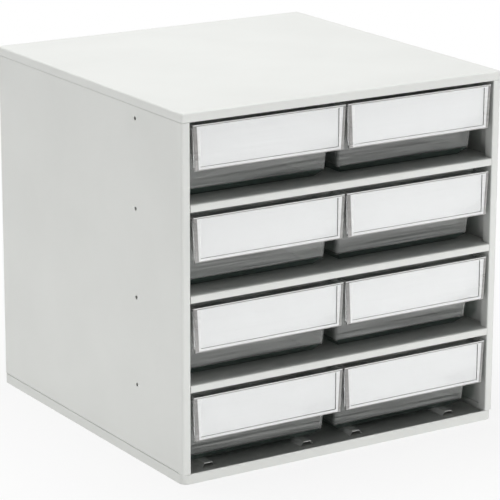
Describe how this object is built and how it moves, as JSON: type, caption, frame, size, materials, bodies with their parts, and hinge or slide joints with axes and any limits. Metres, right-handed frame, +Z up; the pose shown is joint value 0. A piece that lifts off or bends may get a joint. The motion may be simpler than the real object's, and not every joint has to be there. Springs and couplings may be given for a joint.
{
  "type": "parts bin cabinet",
  "caption": "Folded steel cabinet with open-fronted bays, whose clear plastic bins with white label cards slide out to the front.",
  "frame": {"origin": "centre of the footprint, on the surface that the cabinet stands on", "axes": "+X to the right seen from the front, +Y to the back, +Z up; the bins slide out along -Y"},
  "size_m": [0.4, 0.4, 0.3952],
  "materials": {
    "painted_sheet": "light grey powder coat, satin",
    "clear_plastic": "clear injection-moulded plastic, glossy",
    "card": "plain white paper card, matt, nothing printed on it"
  },
  "bodies": {
    "casing": {"base_frame": "painted_sheet", "base_floor": "painted_sheet", "floor_runners": "painted_sheet", "lid": "painted_sheet", "side_panel_left": "painted_sheet", "side_panel_right": "painted_sheet", "back_panel": "painted_sheet", "top_shelf": "painted_sheet", "shelf_1": "painted_sheet", "shelf_2": "painted_sheet", "shelf_3": "painted_sheet"},
    "bin_1_left": {"bin_1_left": "clear_plastic", "label_card_1_left": "card"},
    "bin_1_right": {"bin_1_right": "clear_plastic", "label_card_1_right": "card"},
    "bin_2_left": {"bin_2_left": "clear_plastic", "label_card_2_left": "card"},
    "bin_2_right": {"bin_2_right": "clear_plastic", "label_card_2_right": "card"},
    "bin_3_left": {"bin_3_left": "clear_plastic", "label_card_3_left": "card"},
    "bin_3_right": {"bin_3_right": "clear_plastic", "label_card_3_right": "card"},
    "bin_4_left": {"bin_4_left": "clear_plastic", "label_card_4_left": "card"},
    "bin_4_right": {"bin_4_right": "clear_plastic", "label_card_4_right": "card"}
  },
  "joints": [
    {"name": "bin_1_left_pull", "type": "slide", "parent": "casing", "child": "bin_1_left", "axis": [0, -1, 0], "range_m": [0, 0.3]},
    {"name": "bin_1_right_pull", "type": "slide", "parent": "casing", "child": "bin_1_right", "axis": [0, -1, 0], "range_m": [0, 0.3]},
    {"name": "bin_2_left_pull", "type": "slide", "parent": "casing", "child": "bin_2_left", "axis": [0, -1, 0], "range_m": [0, 0.3]},
    {"name": "bin_2_right_pull", "type": "slide", "parent": "casing", "child": "bin_2_right", "axis": [0, -1, 0], "range_m": [0, 0.3]},
    {"name": "bin_3_left_pull", "type": "slide", "parent": "casing", "child": "bin_3_left", "axis": [0, -1, 0], "range_m": [0, 0.3]},
    {"name": "bin_3_right_pull", "type": "slide", "parent": "casing", "child": "bin_3_right", "axis": [0, -1, 0], "range_m": [0, 0.3]},
    {"name": "bin_4_left_pull", "type": "slide", "parent": "casing", "child": "bin_4_left", "axis": [0, -1, 0], "range_m": [0, 0.3]},
    {"name": "bin_4_right_pull", "type": "slide", "parent": "casing", "child": "bin_4_right", "axis": [0, -1, 0], "range_m": [0, 0.3]}
  ]
}
